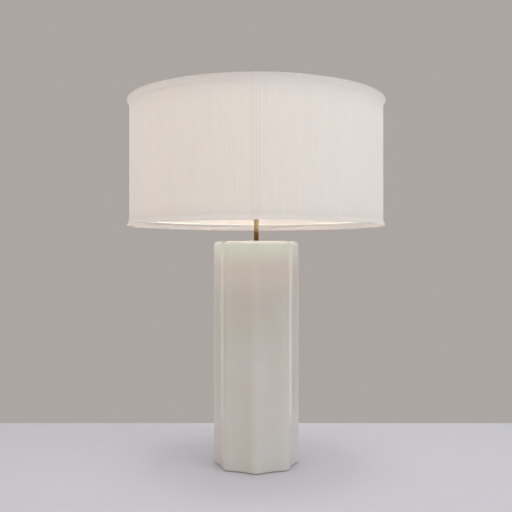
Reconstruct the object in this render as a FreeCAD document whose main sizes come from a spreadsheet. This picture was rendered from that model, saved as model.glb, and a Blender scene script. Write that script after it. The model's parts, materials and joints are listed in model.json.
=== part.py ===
import FreeCAD, Part
import math
import os
import re
import sys
import Sketcher

# Column table lamp: a fluted, glazed ceramic column, a brass stem with a lamp socket, a wire harp and
# a wide pleated drum shade that hangs on the harp and is held down by a finial.
# Millimetres, +Z up. The origin is on the lamp's axis, on the surface that it stands on.
# The front of the lamp looks along -Y: one ridge of the column and the switch knob face that way.

V = FreeCAD.Vector

# Driving sizes, each written once. They go into the spreadsheet as plain numbers.
SIZES = {
    # ceramic column
    "column_top": 440.0,            # height of the ceramic's top above the table
    "ridge_radius": 84.2,           # axis to the crest of a ridge
    "ridge_round": 16.0,
    "flute_depth": 2.8,             # below the flat that would join two ridges
    "flute_count": 8,
    "column_wall": 8.0,
    "shoulder_round": 8.0,
    "foot_round": 1.5,
    "top_wall": 8.0,
    "floor_wall": 8.0,
    "foot_recess_depth": 12.0,
    "foot_ring_width": 10.5,        # bottom of a flute to the recess in the foot
    "floor_ledge": 17.0,            # what the plate rests against, round the opening in the floor
    "top_hole_clearance": 1.5,
    # felt and what clamps the column
    "felt_thickness": 2.0,
    "felt_inset": 1.5,
    "plate_clearance": 5.0,
    "plate_thickness": 2.5,
    "rod_radius": 4.0,
    "rod_bore_radius": 2.5,
    "rod_clearance": 0.1,
    "rod_overrun": 2.0,             # rod below its nut
    "lock_washer_radius": 7.5,
    "lock_washer_thickness": 1.0,
    "foot_nut_height": 4.0,
    "foot_nut_across_corners": 15.0,
    # cord inlet at the back
    "inlet_height": 34.0,
    "inlet_bore_radius": 4.0,
    "inlet_bush_wall": 2.0,
    "inlet_flange_reach": 3.0,
    "inlet_flange_thickness": 1.5,
    "inlet_lip": 1.2,
    "inlet_lip_reach": 0.8,
    "spot_face_depth": 0.7,
    "spot_face_clearance": 0.3,
    # brass stem
    "seat_ring_radius": 13.0,
    "seat_ring_thickness": 1.2,
    "stem_radius": 5.0,
    "stem_bore_radius": 3.0,
    "stem_rise": 44.8,              # bare stem between its ring and the nut under the saddle
    "rod_engagement": 12.0,
    "stem_in_cap": 7.0,
    "thread_clearance": 0.05,
    # saddle that carries the harp
    "saddle_thickness": 1.5,
    "saddle_width": 11.0,
    "saddle_bend": 3.0,
    "saddle_arm_height": 17.0,      # underside of the saddle to the shoulder of its arms
    "saddle_corner": 2.2,
    "saddle_nut_height": 3.0,
    "saddle_nut_across_corners": 17.0,
    # harp
    "harp_wire_radius": 2.0,
    "harp_leg_offset": 27.0,
    "harp_half_width": 54.0,
    "harp_height": 190.5,           # underside of the saddle to the top of the flattened seat
    "harp_sway_radius": 40.0,
    "harp_shoulder_radius": 38.0,
    "harp_straight_leg": 38.0,      # straight part of each leg above the arm's shoulder
    "lap_length": 14.0,
    "harp_seat_length": 26.0,
    "harp_seat_width": 12.0,
    "harp_seat_thickness": 2.4,
    "ferrule_length": 18.0,
    "ferrule_wall": 1.1,
    "ferrule_clearance": 0.06,
    "ferrule_bell": 0.6,
    "ferrule_bell_height": 4.0,
    # stud, spider hub and finial
    "rivet_radius": 2.5,
    "rivet_head_radius": 4.0,
    "rivet_head_height": 1.2,
    "stud_flange_radius": 8.0,
    "stud_flange_height": 2.5,
    "stud_radius": 3.175,
    "stud_length": 13.0,
    "finial_clearance": 0.05,
    "finial_bore_spare": 1.0,
    "finial_base_radius": 7.5,
    "finial_base_height": 2.5,
    "finial_neck_radius": 4.8,
    "finial_neck_height": 5.0,
    "finial_ball_radius": 9.0,
    # shade frame
    "hub_radius": 15.0,
    "hub_thickness": 2.0,
    "hub_clearance": 0.3,
    "arm_count": 3,
    "arm_wire_radius": 2.0,
    "arm_bend": 8.0,
    "arm_gap": 2.0,                 # between the finial and the arms on the hub
    "spider_rise": 13.0,            # how far the shade's top ring stands above the arms
    "ring_wire_radius": 2.0,
    # shade cover
    "shade_height": 241.5,
    "shade_radius": 249.1,
    "shade_flare": 4.9,
    "flare_height": 13.0,
    "cover_thickness": 1.2,
    # lamp socket, whose radii grow outwards from the bulb's thread
    "cap_hub_radius": 7.5,
    "cap_hub_height": 5.0,
    "cap_straight": 7.3,            # cap above its dome
    "cap_wall": 0.7,
    "cap_overlap": 5.0,
    "shell_height": 44.0,
    "shell_wall": 0.6,
    "shell_lip": 1.4,
    "slip_clearance": 0.1,
    "liner_thickness": 0.5,
    "liner_gap": 1.32,              # air between the screw shell and the liner
    "core_height": 22.0,
    "screw_shell_height": 17.0,
    "screw_shell_wall": 0.7,
    "screw_shell_opening": 7.0,
    "contact_radius": 4.0,
    "contact_height": 2.6,
    "terminal_screw_radius": 2.8,
    "terminal_screw_height": 2.2,
    "terminal_screw_offset": 8.0,
    # switch
    "switch_rise": 12.0,            # bottom of the socket's core to the switch shaft
    "switch_shaft_radius": 2.0,
    "switch_shaft_depth": 9.0,      # shaft inside the socket's core
    "switch_end_clearance": 0.3,
    "switch_shaft_clearance": 0.05,
    "shell_hole_radius": 3.2,
    "knob_radius": 6.5,
    "knob_length": 10.0,
    "knob_gap": 1.6,
    "knob_groove_count": 10,
    "knob_groove_radius": 1.3,
    "knob_round": 0.8,
    "knob_socket_depth": 8.0,
    # bulb
    "bulb_thread_radius": 13.1,
    "bulb_thread_clearance": 0.08,
    "bulb_base_height": 22.0,
    "bulb_base_wall": 0.4,
    "bulb_cone_height": 3.5,
    "bulb_tip_radius": 4.6,
    "bulb_tip_height": 2.0,
    "neck_clearance": 0.1,
    "neck_depth": 5.0,              # glass held inside the screw base
    "globe_radius": 30.0,
    "globe_rise": 53.0,             # top of the screw base to the middle of the globe
    "glass_thickness": 1.0,
    "mount_stem_radius": 3.0,
    "mount_thickness": 1.5,
    "filament_count": 4,
    "filament_radius": 0.9,
    "filament_ring_radius": 5.5,
    "filament_rise": 16.0,
    "filament_length": 30.0,
}

# Levels and radii that follow from the driving sizes, as formulas.
PLACES = {
    "half_step": "(180 deg / flute_count)",
    "ridge_centre": "(ridge_radius - ridge_round)",
    "valley_radius": "(ridge_centre * cos(half_step) + ridge_round - flute_depth)",
    "flute_radius": "(((ridge_centre * sin(half_step)) ^ 2 + flute_depth ^ 2)"
                    " / (2 * flute_depth) - ridge_round)",
    "flute_centre": "(valley_radius + flute_radius)",
    "foot_recess_radius": "(valley_radius - foot_ring_width)",
    "floor_opening_radius": "(foot_recess_radius - floor_ledge)",
    "plate_radius": "(foot_recess_radius - plate_clearance)",
    "recess_top": "(felt_thickness + foot_recess_depth)",
    "hollow_bottom": "(recess_top + floor_wall)",
    "hollow_height": "(column_top - top_wall - hollow_bottom)",
    "plate_bottom": "(recess_top - plate_thickness)",
    "lock_washer_bottom": "(plate_bottom - lock_washer_thickness)",
    "foot_nut_bottom": "(lock_washer_bottom - foot_nut_height)",
    "rod_bottom": "(foot_nut_bottom - rod_overrun)",
    "stem_bottom": "(column_top + seat_ring_thickness)",
    "rod_top": "(stem_bottom + rod_engagement)",
    "saddle_height": "(stem_bottom + stem_rise + saddle_nut_height)",
    "saddle_top": "(saddle_height + saddle_thickness)",
    "stem_top": "(saddle_top + stem_in_cap)",
    "arm_shoulder": "(saddle_height + saddle_arm_height)",
    "lap_top": "(arm_shoulder + lap_length)",
    "leg_top": "(arm_shoulder + harp_straight_leg)",
    "sway_turn": "acos(1 - (harp_half_width - harp_leg_offset) / (2 * harp_sway_radius))",
    "sway_middle": "(leg_top + harp_sway_radius * sin(sway_turn))",
    "sway_top": "(leg_top + 2 * harp_sway_radius * sin(sway_turn))",
    "sway_offset": "(harp_leg_offset + (harp_half_width - harp_leg_offset) / 2)",
    "harp_seat_top": "(saddle_height + harp_height)",
    "harp_wire_top": "(harp_seat_top - harp_seat_thickness / 2)",
    "harp_shoulder": "(harp_wire_top - harp_shoulder_radius)",
    "hub_bottom": "(harp_seat_top + stud_flange_height)",
    "hub_top": "(hub_bottom + hub_thickness)",
    "arm_height": "(hub_top + arm_wire_radius)",
    "arm_start": "(finial_base_radius + arm_gap)",
    "upper_ring": "(arm_height + spider_rise)",
    "shade_top": "(upper_ring + flare_height)",
    "shade_bottom": "(shade_top - shade_height)",
    "lower_ring": "(shade_bottom + flare_height)",
    "ring_radius": "(shade_radius - cover_thickness - ring_wire_radius)",
    "arm_end": "(ring_radius - ring_wire_radius - arm_wire_radius)",
    "flare_radius": "((flare_height ^ 2 + shade_flare ^ 2) / (2 * shade_flare))",
    "screw_shell_radius": "(bulb_thread_radius + bulb_thread_clearance)",
    "screw_shell_outside": "(screw_shell_radius + screw_shell_wall)",
    "liner_inside": "(screw_shell_outside + liner_gap)",
    "liner_radius": "(liner_inside + liner_thickness)",
    "shell_inside": "(liner_radius + slip_clearance)",
    "shell_radius": "(shell_inside + shell_wall)",
    "cap_inside": "(shell_radius + slip_clearance)",
    "cap_radius": "(cap_inside + cap_wall)",
    "dome_radius": "(cap_radius - cap_hub_radius)",
    "dome_bottom": "(saddle_top + cap_hub_height)",
    "dome_top": "(dome_bottom + dome_radius)",
    "cap_top": "(dome_top + cap_straight)",
    "shell_bottom": "(cap_top - cap_overlap)",
    "shell_top": "(shell_bottom + shell_height)",
    "liner_bottom": "(shell_bottom + shell_wall)",
    "liner_top": "(shell_top - shell_wall)",
    "core_radius": "(liner_inside - slip_clearance)",
    "core_bottom": "(liner_bottom)",
    "core_top": "(core_bottom + core_height)",
    "switch_level": "(core_bottom + switch_rise)",
    "shaft_start": "(core_radius - switch_shaft_depth)",
    "knob_start": "(shell_radius + knob_gap)",
    "shaft_end": "(knob_start + knob_socket_depth)",
    "tip_bottom": "(core_top + contact_height)",
    "tip_top": "(tip_bottom + bulb_tip_height)",
    "base_bottom": "(tip_top + bulb_cone_height)",
    "base_top": "(base_bottom + bulb_base_height)",
    "globe_level": "(base_top + globe_rise)",
    "neck_radius": "(bulb_thread_radius - bulb_base_wall - neck_clearance)",
    "neck_sweep": "((globe_rise ^ 2 + neck_radius ^ 2 - globe_radius ^ 2)"
                  " / (2 * (globe_radius - neck_radius)))",
    "neck_share": "(globe_radius / (globe_radius + neck_sweep))",
    "neck_meets": "((neck_radius + neck_sweep) * neck_share)",
    "neck_meets_level": "(globe_level - globe_rise * neck_share)",
    "inner_share": "((globe_radius - glass_thickness) / (globe_radius + neck_sweep))",
    "inner_meets": "((neck_radius + neck_sweep) * inner_share)",
    "inner_meets_level": "(globe_level - globe_rise * inner_share)",
    "finial_ball_level": "(hub_top + finial_base_height + finial_neck_height"
                         " + sqrt(finial_ball_radius ^ 2 - finial_neck_radius ^ 2))",
    "inlet_hole_radius": "(inlet_bore_radius + inlet_bush_wall)",
    "inlet_flange_radius": "(inlet_hole_radius + inlet_flange_reach)",
    "inlet_face": "(valley_radius - spot_face_depth)",
    "inlet_inside": "(valley_radius - column_wall)",
    "inlet_angle": "(half_step * (1 + 2 * floor(flute_count / 4)))",
}

doc = FreeCAD.newDocument("column_table_lamp")
sheet = doc.addObject("Spreadsheet::Sheet", "Sizes")
for row, (alias, number) in enumerate(SIZES.items(), 1):
    sheet.set(f"A{row}", alias)
    sheet.set(f"B{row}", str(number))
    sheet.setAlias(f"B{row}", alias)
doc.recompute()

nodes = {}


def bound(text):
    """A formula in plain size names as an expression on the spreadsheet."""
    def swap(match):
        word = match[0]
        if word in PLACES:
            return bound(PLACES[word])
        return f"Sizes.{word}" if word in SIZES else word
    return re.sub(r"[a-z][a-z_]+", swap, str(text))


def value(text):
    """What a formula in plain size names comes to."""
    return float(sheet.evalExpression(bound(text)))


def keep(label, thing):
    """Names a finished sub-part and puts it on the list of nodes."""
    thing.Label = label
    nodes[label] = thing
    return thing


def place(thing, x="0", y="0", z="0"):
    """Binds where an object stands."""
    for side, text in zip("xyz", (x, y, z)):
        thing.setExpression(f"Placement.Base.{side}", bound(text))


def new_body(name):
    return doc.addObject("PartDesign::Body", name)


def origin_plane(body, role):
    return next(item for item in body.Origin.OriginFeatures if item.Role == role)


def sketch_on(body, name, role="XY_Plane", rise="0"):
    """A sketch on one of the body's own origin planes, or at a bound height above it."""
    sketch = body.newObject("Sketcher::SketchObject", name)
    sketch.AttachmentSupport = [(origin_plane(body, role), "")]
    sketch.MapMode = "FlatFace"
    sketch.setExpression("AttachmentOffset.Base.z", bound(rise))
    return sketch


def fix(sketch, kind, *rest, to):
    """Adds a dimension to a sketch and binds it to a formula."""
    number = sketch.addConstraint(Sketcher.Constraint(kind, *rest, value(to)))
    sketch.setExpression(f"Constraints[{number}]", bound(to))


def circle(sketch, radius, x="0", y="0"):
    """A circle whose centre and radius are bound."""
    ring = sketch.addGeometry(Part.Circle(V(value(x), value(y), 0), V(0, 0, 1), value(radius)))
    fix(sketch, "DistanceX", -1, 1, ring, 3, to=x)
    fix(sketch, "DistanceY", -1, 1, ring, 3, to=y)
    fix(sketch, "Radius", ring, to=radius)


def arc_through(start, end, radius, side):
    """The arc of a radius from start to end; its middle lies to the left of the way for side 1."""
    chord = end - start
    half = chord.Length / 2
    left = V(-chord.y, chord.x, 0).normalize()
    rise = radius - math.sqrt(max(radius ** 2 - half ** 2, 0.0))
    middle = (start + end) / 2 + left * (rise * side)
    return Part.Arc(start, middle, end)


def draw(sketch, start, steps, closed=True):
    """An outline of lines (x, y) and arcs (x, y, radius, side), with every corner bound."""
    corners = [start] + [step[:2] for step in steps]
    points = [V(value(x), value(y), 0) for x, y in corners]
    pieces = []
    for number, step in enumerate(steps):
        first, last = points[number], points[number + 1]
        if len(step) == 2:
            pieces.append(sketch.addGeometry(Part.LineSegment(first, last)))
            ends = (1, 2)
        else:
            curve = arc_through(first, last, value(step[2]), step[3])
            piece = sketch.addGeometry(curve)
            pieces.append(piece)
            begins = (sketch.getPoint(piece, 1) - first).Length < (sketch.getPoint(piece, 2) - first).Length
            ends = (1, 2) if begins else (2, 1)
        if number:
            sketch.addConstraint(Sketcher.Constraint("Coincident", *previous, pieces[-1], ends[0]))
        else:
            opening = (pieces[-1], ends[0])
        previous = (pieces[-1], ends[1])
        fix(sketch, "DistanceX", -1, 1, pieces[-1], ends[0], to=corners[number][0])
        fix(sketch, "DistanceY", -1, 1, pieces[-1], ends[0], to=corners[number][1])
        if len(step) > 2:
            fix(sketch, "Radius", pieces[-1], to=step[2])
    if closed:
        sketch.addConstraint(Sketcher.Constraint("Coincident", *previous, *opening))
    else:
        fix(sketch, "DistanceX", -1, 1, *previous, to=corners[-1][0])
        fix(sketch, "DistanceY", -1, 1, *previous, to=corners[-1][1])


def pad(body, name, sketch, length, symmetric=False):
    feature = body.newObject("PartDesign::Pad", name)
    feature.Profile = sketch
    feature.Midplane = symmetric
    feature.setExpression("Length", bound(length))
    return feature


def pocket(body, name, sketch, length, back=False, symmetric=False):
    """Cuts a sketch away to a bound depth; back cuts along the sketch's own normal."""
    feature = body.newObject("PartDesign::Pocket", name)
    feature.Profile = sketch
    feature.Midplane = symmetric
    feature.Reversed = back
    feature.setExpression("Length", bound(length))
    return feature


def lap_round(body, name, feature, count):
    """Repeats a feature evenly round the body's own Z axis."""
    ring = body.newObject("PartDesign::PolarPattern", name)
    ring.Originals = [feature]
    ring.Axis = (next(item for item in body.Origin.OriginFeatures if item.Role == "Z_Axis"), [""])
    ring.Angle = 360
    ring.setExpression("Occurrences", bound(count))
    body.Tip = ring
    return ring


def soften(body, name, base, wanted, radius, kind="Fillet"):
    """Rounds (or chamfers) the edges that wanted picks."""
    doc.recompute()
    edges = [f"Edge{number}" for number, edge in enumerate(base.Shape.Edges, 1) if wanted(edge)]
    feature = body.newObject(f"PartDesign::{kind}", name)
    feature.Base = (base, edges)
    feature.setExpression("Radius" if kind == "Fillet" else "Size", bound(radius))
    return feature


def turned(label, start, steps):
    """A turned piece: an outline beside the body's Z axis, carried once round it."""
    body = new_body(label)
    outline = sketch_on(body, "Outline", "XZ_Plane")
    draw(outline, start, steps)
    turn = body.newObject("PartDesign::Revolution", "Turn")
    turn.Profile = outline
    turn.ReferenceAxis = (outline, ["V_Axis"])
    turn.Angle = 360
    return keep(label, body)


def ring_piece(label, bore, radius, bottom, height):
    """A flat ring, washer or plain tube on the lamp's axis."""
    return turned(label, (bore, bottom), [
        (radius, bottom), (radius, f"{bottom} + {height}"), (bore, f"{bottom} + {height}"), (bore, bottom)])


def runs_along_x(edge):
    """True for a straight edge along X."""
    ends = edge.Vertexes
    return len(ends) == 2 and (ends[0].Point - ends[1].Point).cross(V(1, 0, 0)).Length < 1e-6


def lies_at(level):
    """Picks the edges that lie flat at a level."""
    return lambda edge: all(abs(end.Z - level) < 1e-6 for end in edge.Vertexes) and edge.Vertexes


def fluted_block(name, bottom, height, inset, ridge):
    """An upright block whose outline is hollow flutes between rounded ridges, set in from the column's.

    Each ridge is an arc that meets the flutes on its two sides where their tangents agree: on the line
    from its own centre to the flute's.
    """
    body = new_body(name)
    outline = sketch_on(body, "Outline", rise=bottom)
    flute = f"(flute_radius + {inset})"
    across, along = "(flute_centre * sin(half_step))", "(flute_centre * cos(half_step))"
    middle = f"({along} - sqrt(({flute} + {ridge}) ^ 2 - {across} ^ 2))"
    share = f"({ridge} / ({flute} + {ridge}))"
    meet_out, meet_side = f"({middle} + {share} * ({along} - {middle}))", f"({share} * {across})"

    def meeting(number, side):
        turn = f"(2 * {number} * half_step)"
        return (f"{meet_out} * cos{turn} {side} {meet_side} * -sin{turn}",
                f"{meet_out} * sin{turn} {side} {meet_side} * cos{turn}")

    steps = []
    for number in range(round(value("flute_count"))):
        steps.append((*meeting(number, "+"), ridge, -1))
        steps.append((*meeting(number + 1, "-"), flute, 1))
    draw(outline, meeting(0, "-"), steps)
    return body, pad(body, "Block", outline, height)


def ceramic_column():
    """The fluted ceramic shell: even walls, a closed top and a floor with an opening and a recess."""
    body, block = fluted_block("Column", "felt_thickness", "column_top - felt_thickness", "0", "ridge_round")
    shoulder = soften(body, "Shoulder", block, lies_at(value("column_top")), "shoulder_round")
    soften(body, "FootEdge", shoulder, lies_at(value("felt_thickness")), "foot_round")
    core_ridge = "(ridge_round - column_wall)"
    core, _ = fluted_block("Hollow", "hollow_bottom", "hollow_height", "column_wall", core_ridge)
    doc.recompute()
    hollow = body.newObject("PartDesign::Boolean", "HollowOut")
    hollow.Type = "Cut"
    hollow.setObjects([core])
    body.Tip = hollow
    for name, radius, bottom, depth in (
            ("Recess", "foot_recess_radius", "felt_thickness", "foot_recess_depth"),
            ("FloorOpening", "floor_opening_radius", "recess_top", "floor_wall"),
            ("TopHole", "rod_radius + top_hole_clearance", "column_top - top_wall", "top_wall")):
        outline = sketch_on(body, f"{name}Outline", rise=bottom)
        circle(outline, radius)
        pocket(body, name, outline, depth, back=True)
    for name, radius, start in (
            ("SpotFace", "inlet_flange_radius + spot_face_clearance", "inlet_face"),
            ("InletHole", "inlet_hole_radius", "inlet_inside - column_wall")):
        outline = sketch_on(body, f"{name}Outline", "XZ_Plane")
        outline.AttachmentOffset = FreeCAD.Placement(V(), FreeCAD.Rotation(V(0, 1, 0), 1))
        outline.setExpression("AttachmentOffset.Rotation.Angle", bound("inlet_angle + 90 deg"))
        outline.setExpression("AttachmentOffset.Base.x", bound(f"({start}) * cos(inlet_angle)"))
        outline.setExpression("AttachmentOffset.Base.z", bound(f"-({start}) * sin(inlet_angle)"))
        circle(outline, radius, y="inlet_height")
        pocket(body, name, outline, "ridge_radius", back=True)
    return keep("ceramic_column", body)


def hex_nut(label, across_corners, bore, bottom, height):
    """A plain hexagon nut on the lamp's axis."""
    hexagon = doc.addObject("Part::Prism", f"{label}_hexagon")
    hexagon.Polygon = 6
    hexagon.setExpression("Circumradius", bound(f"{across_corners} / 2"))
    hexagon.setExpression("Height", bound(height))
    place(hexagon, z=bottom)
    hole = doc.addObject("Part::Cylinder", f"{label}_hole")
    hole.setExpression("Radius", bound(bore))
    hole.setExpression("Height", bound(height))
    place(hole, z=bottom)
    nut = doc.addObject("Part::Cut", label)
    nut.Base, nut.Tool = hexagon, hole
    return keep(label, nut)


def facing_front(body):
    """Turns a piece that was built along +Z so that it points to the front, at the switch's height."""
    body.Placement.Rotation = FreeCAD.Rotation(V(1, 0, 0), 90)
    place(body, z="switch_level")


def foot():
    """Felt, the plate that closes the column's foot, and the rod and nut that clamp the column."""
    felt, _ = fluted_block("Felt", "0", "felt_thickness", "felt_inset", "(ridge_round - felt_inset)")
    keep("felt_pad", felt)
    loose_on_rod = "rod_radius + rod_clearance"
    ring_piece("bottom_plate", loose_on_rod, "plate_radius", "plate_bottom", "plate_thickness")
    ring_piece("lock_washer", loose_on_rod, "lock_washer_radius", "lock_washer_bottom",
               "lock_washer_thickness")
    hex_nut("foot_nut", "foot_nut_across_corners", "rod_radius + thread_clearance", "foot_nut_bottom",
            "foot_nut_height")
    ring_piece("tie_rod", "rod_bore_radius", "rod_radius", "rod_bottom", "rod_top - rod_bottom")


def cord_inlet():
    """The bush in the cord hole: a flange in the spot face, a barrel through the wall and an inner lip."""
    lip_start = "inlet_inside - inlet_lip"
    bush = turned("cord_inlet_bush", ("inlet_bore_radius", lip_start), [
        ("inlet_hole_radius + inlet_lip_reach", lip_start),
        ("inlet_hole_radius + inlet_lip_reach", "inlet_inside"),
        ("inlet_hole_radius", "inlet_inside"),
        ("inlet_hole_radius", "inlet_face"),
        ("inlet_flange_radius", "inlet_face"),
        ("inlet_flange_radius", "inlet_face + inlet_flange_thickness"),
        ("inlet_bore_radius", "inlet_face + inlet_flange_thickness"),
        ("inlet_bore_radius", lip_start)])
    angle = math.radians(value("inlet_angle"))
    bush.Placement.Rotation = FreeCAD.Rotation(V(0, 0, 1), V(math.cos(angle), math.sin(angle), 0))
    place(bush, z="inlet_height")


def stem():
    """The brass ring on the column's top, and the stem that screws down on it over the tie rod."""
    ring_piece("seat_ring", "rod_radius + rod_clearance", "seat_ring_radius", "column_top",
               "seat_ring_thickness")
    thread = "rod_radius + thread_clearance"
    turned("brass_stem", (thread, "stem_bottom"), [
        ("stem_radius", "stem_bottom"), ("stem_radius", "stem_top"), ("stem_bore_radius", "stem_top"),
        ("stem_bore_radius", "rod_top"), (thread, "rod_top"), (thread, "stem_bottom")])
    hex_nut("saddle_nut", "saddle_nut_across_corners", "stem_radius + thread_clearance",
            "saddle_height - saddle_nut_height", "saddle_nut_height")


def harp_saddle():
    """A bent strip under the socket; each arm ends in a half-round post for the harp's leg."""
    body = new_body("Saddle")
    outline = sketch_on(body, "Outline", "XZ_Plane")
    outside = "harp_leg_offset + saddle_thickness / 2"
    inside = "harp_leg_offset - saddle_thickness / 2"
    outer_bend = "saddle_bend + saddle_thickness"
    draw(outline, ("0", "saddle_height"), [
        (f"{outside} - ({outer_bend})", "saddle_height"),
        (outside, f"saddle_height + {outer_bend}", outer_bend, -1),
        (outside, "arm_shoulder"),
        (inside, "arm_shoulder"),
        (inside, "saddle_top + saddle_bend"),
        (f"{inside} - saddle_bend", "saddle_top", "saddle_bend", 1),
        ("0", "saddle_top"),
        ("0", "saddle_height")])
    strip = pad(body, "Strip", outline, "saddle_width", symmetric=True)
    at_shoulder = lies_at(value("arm_shoulder"))
    corners = soften(body, "Corners", strip, lambda edge: at_shoulder(edge) and runs_along_x(edge),
                     "saddle_corner", kind="Chamfer")
    post = sketch_on(body, "PostOutline", rise="arm_shoulder - lap_length / 2")
    circle(post, "harp_wire_radius", x="harp_leg_offset")
    riser = pad(body, "Post", post, "lap_length * 3 / 2")
    lap_outline = sketch_on(body, "LapOutline", "XZ_Plane")
    clear_of_post = "harp_leg_offset + 2 * harp_wire_radius"
    draw(lap_outline, ("harp_leg_offset", "arm_shoulder"), [
        (clear_of_post, "arm_shoulder"), (clear_of_post, "lap_top"), ("harp_leg_offset", "lap_top"),
        ("harp_leg_offset", "arm_shoulder")])
    lap = pocket(body, "Lap", lap_outline, "4 * harp_wire_radius", symmetric=True)
    mirror = body.newObject("PartDesign::Mirrored", "OtherSide")
    mirror.Originals = [strip, corners, riser, lap]
    mirror.MirrorPlane = (origin_plane(body, "YZ_Plane"), [""])
    body.Tip = mirror
    hole = sketch_on(body, "StemHoleOutline", rise="saddle_height")
    circle(hole, "stem_radius + thread_clearance")
    pocket(body, "StemHole", hole, "saddle_thickness", back=True)
    keep("harp_saddle", body)


def piped(name, path_start, path_steps, profile_role, profile_rise, profile_x, profile_y, radius):
    """A wire: a circle carried along a path in the XZ plane."""
    body = new_body(name)
    path = sketch_on(body, "Path", "XZ_Plane")
    draw(path, path_start, path_steps, closed=False)
    section = sketch_on(body, "Section", profile_role, rise=profile_rise)
    circle(section, radius, profile_x, profile_y)
    pipe = body.newObject("PartDesign::AdditivePipe", "Wire")
    pipe.Profile = section
    doc.recompute()
    pipe.Spine = (path, [f"Edge{number}" for number in range(1, len(path_steps) + 1)])
    return body, pipe


def harp():
    """The harp: a wire bow with half-lapped feet and a flattened seat, its stud and its two ferrules."""
    body, wire = piped(
        "Harp", ("harp_leg_offset", "arm_shoulder"), [
            ("harp_leg_offset", "leg_top"),
            ("sway_offset", "sway_middle", "harp_sway_radius", 1),
            ("harp_half_width", "sway_top", "harp_sway_radius", -1),
            ("harp_half_width", "harp_shoulder"),
            ("harp_half_width - harp_shoulder_radius", "harp_wire_top", "harp_shoulder_radius", -1),
            ("harp_seat_length / 2 - harp_wire_radius", "harp_wire_top")],
        "XY_Plane", "arm_shoulder", "harp_leg_offset", "0", "harp_wire_radius")
    lap_outline = sketch_on(body, "LapOutline", "XZ_Plane")
    clear_of_wire = "harp_leg_offset - 2 * harp_wire_radius"
    draw(lap_outline, ("harp_leg_offset", "arm_shoulder"), [
        ("harp_leg_offset", "lap_top"), (clear_of_wire, "lap_top"), (clear_of_wire, "arm_shoulder"),
        ("harp_leg_offset", "arm_shoulder")])
    lap = pocket(body, "Lap", lap_outline, "4 * harp_wire_radius", symmetric=True)
    seat_outline = sketch_on(body, "SeatOutline", rise="harp_seat_top - harp_seat_thickness")
    half_width = "harp_seat_width / 2"
    draw(seat_outline, ("0", f"-{half_width}"), [
        ("harp_seat_length / 2", f"-{half_width}"), ("harp_seat_length / 2", half_width),
        ("0", half_width), ("0", f"-{half_width}")])
    seat = pad(body, "Seat", seat_outline, "harp_seat_thickness")
    mirror = body.newObject("PartDesign::Mirrored", "OtherLeg")
    mirror.Originals = [wire, lap, seat]
    mirror.MirrorPlane = (origin_plane(body, "YZ_Plane"), [""])
    body.Tip = mirror
    hole = sketch_on(body, "RivetHoleOutline", rise="harp_seat_top - harp_seat_thickness")
    circle(hole, "rivet_radius")
    pocket(body, "RivetHole", hole, "harp_seat_thickness", back=True)
    keep("harp_wire", body)

    seat_bottom = "harp_seat_top - harp_seat_thickness"
    head_bottom = f"{seat_bottom} - rivet_head_height"
    stud_top = "hub_bottom + stud_length"
    turned("harp_stud", ("0", head_bottom), [
        ("rivet_head_radius", head_bottom), ("rivet_head_radius", seat_bottom),
        ("rivet_radius", seat_bottom), ("rivet_radius", "harp_seat_top"),
        ("stud_flange_radius", "harp_seat_top"), ("stud_flange_radius", "hub_bottom"),
        ("stud_radius", "hub_bottom"), ("stud_radius", stud_top), ("0", stud_top), ("0", head_bottom)])

    bore = "harp_wire_radius + ferrule_clearance"
    outside = f"{bore} + ferrule_wall"
    bell = f"{outside} + ferrule_bell"
    for side, sign in (("left", "-"), ("right", "")):
        ferrule = turned(f"ferrule_{side}", (bore, "arm_shoulder"), [
            (bell, "arm_shoulder"), (bell, "arm_shoulder + ferrule_bell_height"),
            (outside, "arm_shoulder + ferrule_bell_height + ferrule_bell"),
            (outside, "arm_shoulder + ferrule_length"), (bore, "arm_shoulder + ferrule_length"),
            (bore, "arm_shoulder")])
        place(ferrule, x=f"{sign}harp_leg_offset")


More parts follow.
